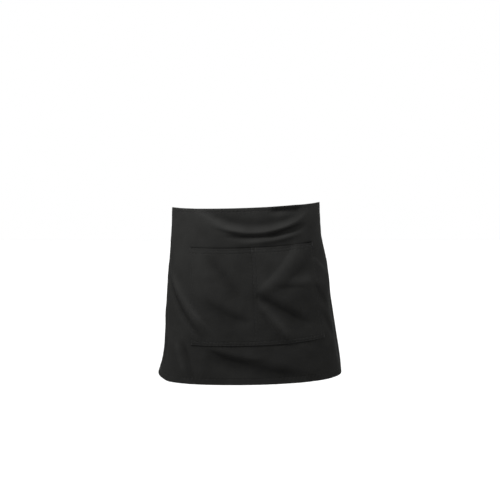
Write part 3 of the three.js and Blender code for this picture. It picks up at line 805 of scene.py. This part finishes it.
def make_wrap(name, lean, width, wall, reach, squeeze):
    """A band wound round the knot, leaning to one side, with pleats along it."""
    t = np.linspace(math.pi, 3 * math.pi, WRAP_STEPS + 1)[:-1]
    over = np.array([math.sin(lean), 0, math.cos(lean)])
    across = np.array([math.cos(lean), 0, -math.sin(lean)])
    back = np.array([0, 1.0, 0])
    half_depth, half_height = reach * KNOT_DEPTH / 2 - wall / 2, reach * KNOT_HEIGHT / 2 - wall / 2
    squared = np.abs(np.cos(t)) ** WRAP_POWER + np.abs(np.sin(t)) ** WRAP_POWER
    round_power = squared ** (-1 / WRAP_POWER)
    centre = (
        knot_middle
        + np.outer(round_power * np.cos(t) * half_depth, back)
        + np.outer(round_power * np.sin(t) * half_height, over)
    )
    off = unit(np.outer(np.cos(t) / half_depth, back) + np.outer(np.sin(t) / half_height, over))
    widths = width * (1 - squeeze * np.exp(-(((t - math.pi * np.round(t / math.pi)) / 0.7) ** 2)))
    walls, shift = np.full(len(t), wall), 0.9 * np.sin(t + lean)
    x, y = pleated_section(widths, walls, WRAP_PLEATS, WRAP_PLEAT_DEPTH, shift)
    points = centre[:, None] + x[..., None] * across + y[..., None] * off[:, None]
    uv = np.stack([x, np.repeat((t * 11)[:, None], PLEAT_SIDES, 1) + KNOT_WEAVE], -1).reshape(-1, 2)
    faces = tube_faces(len(t), PLEAT_SIDES, closed=True)
    # lighter on the pleats' tops, and painted shade on the band's inner face against the knot
    wear_and_painted_light = 0.5 * np.clip(y / wall - 0.5, -0.5, 1)
    return mesh_object(name, points.reshape(-1, 3), faces, uv, wear_and_painted_light.ravel())


def make_throat():
    """The gathered cloth that runs through the knot, out to both ties."""
    x = np.linspace(-1, 1, THROAT_STEPS + 1)
    a = np.linspace(0, 2 * math.pi, PLEAT_SIDES + 1)[:-1]
    swell = ease((1 - np.abs(x)) / 0.75)[:, None]
    height = mix(GATHERED_WIDTH / 2, THROAT_HEIGHT, swell)
    depth = mix(GATHERED_WALL / 2, THROAT_DEPTH, swell)
    pleat = 1 + mix(0.16, 0.08, swell) * np.cos(8 * a[None] + 2.2 * x[:, None])
    points = np.stack([
        np.broadcast_to(knot_middle[0] + x[:, None] * (KNOT_WIDTH / 2 + 1), pleat.shape),
        mix(knot_tape[1], knot_middle[1], swell) + depth * pleat * np.cos(a),
        knot_middle[2] + height * np.sin(a) * (1 + 0.3 * (pleat - 1)),
    ], -1)
    uv = np.stack([points[..., 0] - 300, np.broadcast_to(a * 9 + KNOT_WEAVE, pleat.shape)], -1)
    faces = tube_faces(len(x), PLEAT_SIDES, closed=False)
    # lighter on the pleats' ridges and darker in their hollows
    wear_and_painted_light = 4 * (pleat - 1)
    return mesh_object("knot_throat", points.reshape(-1, 3), faces, uv.reshape(-1, 2), wear_and_painted_light.ravel())


# Materials

def linear(grey):
    """A screen grey of 0 to 255 as linear light."""
    c = grey / 255
    return c / 12.92 if c <= 0.04045 else ((c + 0.055) / 1.055) ** 2.4


def grey_colour(grey):
    """A grey with the slight warmth of black cotton."""
    c = linear(grey)
    return (c, c, c * 0.965, 1)


def new_material(name):
    material = bpy.data.materials.new(name)
    material.use_nodes = True
    return material, material.node_tree, material.node_tree.nodes["Principled BSDF"]


def add(tree, kind, **settings):
    made = tree.nodes.new(kind)
    for key, value in settings.items():
        setattr(made, key, value)
    return made


def put(made, **values):
    """Sets a node's inputs by name, with spaces as underscores."""
    for key, value in values.items():
        made.inputs[key.replace("_", " ")].default_value = value
    return made


def wave(tree, place, direction, pitch, distortion):
    """Parallel lines this far apart in millimetres."""
    lines = add(tree, "ShaderNodeTexWave", wave_type="BANDS", bands_direction=direction)
    put(lines, Scale=math.pi / 10 / (pitch * MM), Distortion=distortion, Detail=1.0, Detail_Scale=3.0)
    tree.links.new(place, lines.inputs["Vector"])
    return lines.outputs["Fac"]


def noise(tree, place, scale, detail):
    """Soft unevenness, with this many swells to a metre."""
    cloud = put(add(tree, "ShaderNodeTexNoise"), Scale=scale, Detail=detail)
    tree.links.new(place, cloud.inputs["Vector"])
    return cloud.outputs["Fac"]


def plus(tree, value, times, base):
    """A value times a number, added to a base, which is a number or a value too."""
    sum_node = add(tree, "ShaderNodeMath", operation="MULTIPLY_ADD")
    tree.links.new(value, sum_node.inputs[0])
    sum_node.inputs[1].default_value = times
    if isinstance(base, float):
        sum_node.inputs[2].default_value = base
    else:
        tree.links.new(base, sum_node.inputs[2])
    return sum_node.outputs[0]


TWILL_PITCH = 1.15
YARN_PITCH = 0.6
THREAD_TWIST = 0.35
DYE_SWELLS, FIBRE_SWELLS = 22.0, 1100.0  # to a metre
WALE_SHARE, YARN_SHARE = 0.65, 0.35
SHADE_BASE = -0.02
SHADE_BY_DYE, SHADE_BY_WEAVE, SHADE_BY_FIBRES, SHADE_BY_WEAR_AND_PAINTED_LIGHT = 0.35, 0.34, 0.2, 0.24


def grey_ramp(tree, shade, dark, light, shader):
    """Colours a surface from one grey to another by its shade."""
    ramp = add(tree, "ShaderNodeValToRGB")
    ramp.color_ramp.elements[0].color = grey_colour(dark)
    ramp.color_ramp.elements[1].color = grey_colour(light)
    tree.links.new(shade, ramp.inputs["Fac"])
    tree.links.new(ramp.outputs["Color"], shader.inputs["Base Color"])


def twill_material(name, turn, dark, light):
    """Black twill: a diagonal weave, uneven dye, faded edges, painted highlights and painted shade, and
    a soft sheen.
    """
    material, tree, shader = new_material(name)
    put(shader, Specular_IOR_Level=0.004, Sheen_Weight=0.002, Sheen_Roughness=0.5)
    place = add(tree, "ShaderNodeUVMap", uv_map="cloth").outputs["UV"]
    turned_place = put(add(tree, "ShaderNodeMapping"), Rotation=(0, 0, turn))
    tree.links.new(place, turned_place.inputs["Vector"])
    wales = wave(tree, turned_place.outputs["Vector"], "X", TWILL_PITCH, 0.3)
    yarns = wave(tree, place, "Y", YARN_PITCH, 0.4)
    weave = plus(tree, yarns, YARN_SHARE, plus(tree, wales, WALE_SHARE, 0.0))
    dye = noise(tree, place, DYE_SWELLS, 4.0)
    fibres = noise(tree, place, FIBRE_SWELLS, 2.0)
    # the attribute holds faded edges together with painted highlights and painted shade
    wear_and_painted_light = add(tree, "ShaderNodeAttribute", attribute_name="wear_and_painted_light").outputs["Fac"]

    shade = plus(tree, dye, SHADE_BY_DYE, SHADE_BASE)
    shade = plus(tree, weave, SHADE_BY_WEAVE, shade)
    shade = plus(tree, fibres, SHADE_BY_FIBRES, shade)
    shade = plus(tree, wear_and_painted_light, SHADE_BY_WEAR_AND_PAINTED_LIGHT, shade)
    grey_ramp(tree, shade, dark, light, shader)
    tree.links.new(plus(tree, weave, -0.14, 0.82), shader.inputs["Roughness"])

    bump = put(add(tree, "ShaderNodeBump"), Strength=0.6, Distance=0.00014)
    tree.links.new(weave, bump.inputs["Height"])
    nap = put(add(tree, "ShaderNodeBump"), Strength=0.5, Distance=0.0001)
    tree.links.new(fibres, nap.inputs["Height"])
    tree.links.new(bump.outputs["Normal"], nap.inputs["Normal"])
    tree.links.new(nap.outputs["Normal"], shader.inputs["Normal"])
    return material


def thread_material(name, dark, light):
    """Spun thread: a fine twist and a little gloss."""
    material, tree, shader = new_material(name)
    put(shader, Specular_IOR_Level=0.12, Roughness=0.55)
    place = add(tree, "ShaderNodeUVMap", uv_map="cloth").outputs["UV"]
    grey_ramp(tree, wave(tree, place, "DIAGONAL", THREAD_TWIST, 0.5), dark, light, shader)
    return material


def floor_material():
    material, _, shader = new_material("pale_floor")
    put(shader, Base_Color=(0.98, 0.98, 0.98, 1), Roughness=0.95, Specular_IOR_Level=0.0)
    return material


twill = twill_material("black_twill", math.radians(27), 9, 34)
tape = twill_material("black_tape", math.radians(-30), 9, 33)
thread = thread_material("black_thread", 15, 24)
tack_thread = thread_material("tack_thread", 13, 24)

# Pieces

panel, panel_sheet = make_panel()
pocket, pocket_sheet = make_pocket()
tie_left, left_threads = make_tie("tape_left", -1)
tie_right, right_threads = make_tie("tape_right", 1)
tail_left, left_tail_threads = make_tail("tail_left", -1)
tail_right, right_tail_threads = make_tail("tail_right", 1)
knot_pieces = [
    make_throat(),
    make_wrap("knot_under", math.radians(-34), 17.0, 3.0, 0.9, 0.15),
    make_wrap("knot_over", math.radians(20), 15.0, 3.4, 1.0, 0.12),
]


def sewn(name, *threads):
    joined = [np.concatenate(parts) for parts in zip(*threads)]
    return stitch_object(name, *joined, STITCH_LENGTH)


panel_stitches = sewn(
    "panel_stitches",
    stitches_on(panel_sheet, PANEL_SEAMS + CROSS_SEAMS, "outer"),
    stitches_on(panel_sheet, PANEL_SEAMS + THROUGH_SEAMS, "inner"),
)
pocket_stitches = sewn("pocket_stitches", stitches_on(pocket_sheet, POCKET_SEAMS, "outer"))
tape_stitches = [
    sewn("tie_left_stitches", left_threads),
    sewn("tie_right_stitches", right_threads),
    sewn("tail_left_stitches", left_tail_threads),
    sewn("tail_right_stitches", right_tail_threads),
]

mouth_tack, base_tack = POCKET_DROP + TACK_HEIGHT / 2 + 0.5, POCKET_BOTTOM - TACK_HEIGHT / 2 - 0.8
tack_across = HALF_POCKET - SIDE_ROWS[0]
tack_places = [
    (-tack_across, mouth_tack),
    (tack_across, mouth_tack),
    (-SEAM_HALF, mouth_tack),
    (SEAM_HALF, mouth_tack),
    (-tack_across, base_tack),
    (tack_across, base_tack),
]
tack_parts = zip(*(tack_threads(pocket_sheet, u, v) for u, v in tack_places))
tack_parts = [np.concatenate(part) for part in tack_parts]
tacks = stitch_object("bar_tacks", *tack_parts, TACK_WIDTH, TACK_THREAD)

# What each piece is made of and rides on, and what it stands for, which nothing here reads

DRESSED = [
    ([panel, pocket], twill, "twill"),
    ([tie_left, tie_right, tail_left, tail_right, *knot_pieces], tape, "tape"),
    ([panel_stitches, pocket_stitches], thread, "twill"),
    (tape_stitches, thread, "tape"),
    ([tacks], tack_thread, "twill"),
]
for pieces, material, slot in DRESSED:
    for piece in pieces:
        piece.data.materials.append(material)
        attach(piece, "root")

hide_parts("apron_panel")
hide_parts("pocket")
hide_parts("tie_left")
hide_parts("tie_right")
for piece in (*knot_pieces, tail_left, tail_right):
    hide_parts("tie_knot")

# The floor, the lights and the camera

FLOOR_DROP = 2.1
bpy.ops.mesh.primitive_plane_add(size=40, location=(0, 0, -FLOOR_DROP))
floor = bpy.context.object
floor.name = "floor"
floor.data.materials.append(floor_material())

FRONT_DIM = 0.95
TOP_LIGHT = 1.2


def smooth_step(tree, value, start, end):
    """Nothing at one value, one at the other."""
    step = add(tree, "ShaderNodeMapRange", interpolation_type="SMOOTHSTEP")
    put(step, From_Min=start, From_Max=end)
    tree.links.new(value, step.inputs["Value"])
    return step.outputs["Result"]


def studio_world():
    """A pale studio, brighter overhead and dim high up before the object."""
    world = bpy.data.worlds.new("studio")
    world.use_nodes = True
    tree = world.node_tree
    parts = add(tree, "ShaderNodeSeparateXYZ")
    tree.links.new(add(tree, "ShaderNodeTexCoord").outputs["Generated"], parts.inputs[0])
    before = smooth_step(tree, parts.outputs["Y"], 0.15, -0.5)
    raised = smooth_step(tree, parts.outputs["Z"], 0.10, 0.28)
    overhead = smooth_step(tree, parts.outputs["Z"], 0.5, 0.97)
    dim = add(tree, "ShaderNodeMath", operation="MULTIPLY")
    tree.links.new(before, dim.inputs[0])
    tree.links.new(raised, dim.inputs[1])
    strength = plus(tree, dim.outputs[0], -FRONT_DIM, plus(tree, overhead, TOP_LIGHT, 1.0))
    tree.links.new(strength, tree.nodes["Background"].inputs["Strength"])
    tree.nodes["Background"].inputs["Color"].default_value = (1, 1, 1, 1)
    bpy.context.scene.world = world


studio_world()
bpy.context.scene.view_settings.view_transform = "Standard"
bpy.context.scene.view_settings.look = "None"


def soft_light(name, place, aim, size, power):
    """A round lamp this wide, turned towards a point."""
    data = bpy.data.lights.new(name, "AREA")
    data.shape = "DISK"
    data.size = size
    data.energy = power
    lamp = bpy.data.objects.new(name, data)
    lamp.location = place
    lamp.rotation_euler = (Vector(aim) - Vector(place)).to_track_quat("-Z", "Y").to_euler()
    bpy.context.scene.collection.objects.link(lamp)


soft_light("key", (-0.5, -0.58, 0.72), (0, -0.05, -0.1), 0.25, 35)
soft_light("right", (0.66, -0.3, 0.42), (0.15, -0.05, 0.0), 0.25, 8)
soft_light("left", (-0.95, -0.25, 0.3), (-0.1, 0, 0), 0.3, 0.5)
soft_light("back", (0.6, 1.7, 1.1), (0, 0, -0.15), 0.5, 85)
soft_light("low_back", (-0.25, 1.6, -0.1), (0, 0, -0.2), 0.3, 26)

CAMERA_PLACE = (0.0098, -3.27, 0.24)
CAMERA_TILT = math.radians(6.10)
LENS_SHARE = 2.778  # the lens's length as a share of the picture's width
lens = bpy.data.cameras.new("camera")
lens.sensor_width = 36.0
lens.lens = LENS_SHARE * lens.sensor_width
lens.clip_end = 100
camera = bpy.data.objects.new("camera", lens)
camera.location = CAMERA_PLACE
camera.rotation_euler = (math.pi / 2 - CAMERA_TILT, 0, 0)
bpy.context.scene.collection.objects.link(camera)
bpy.context.scene.camera = camera
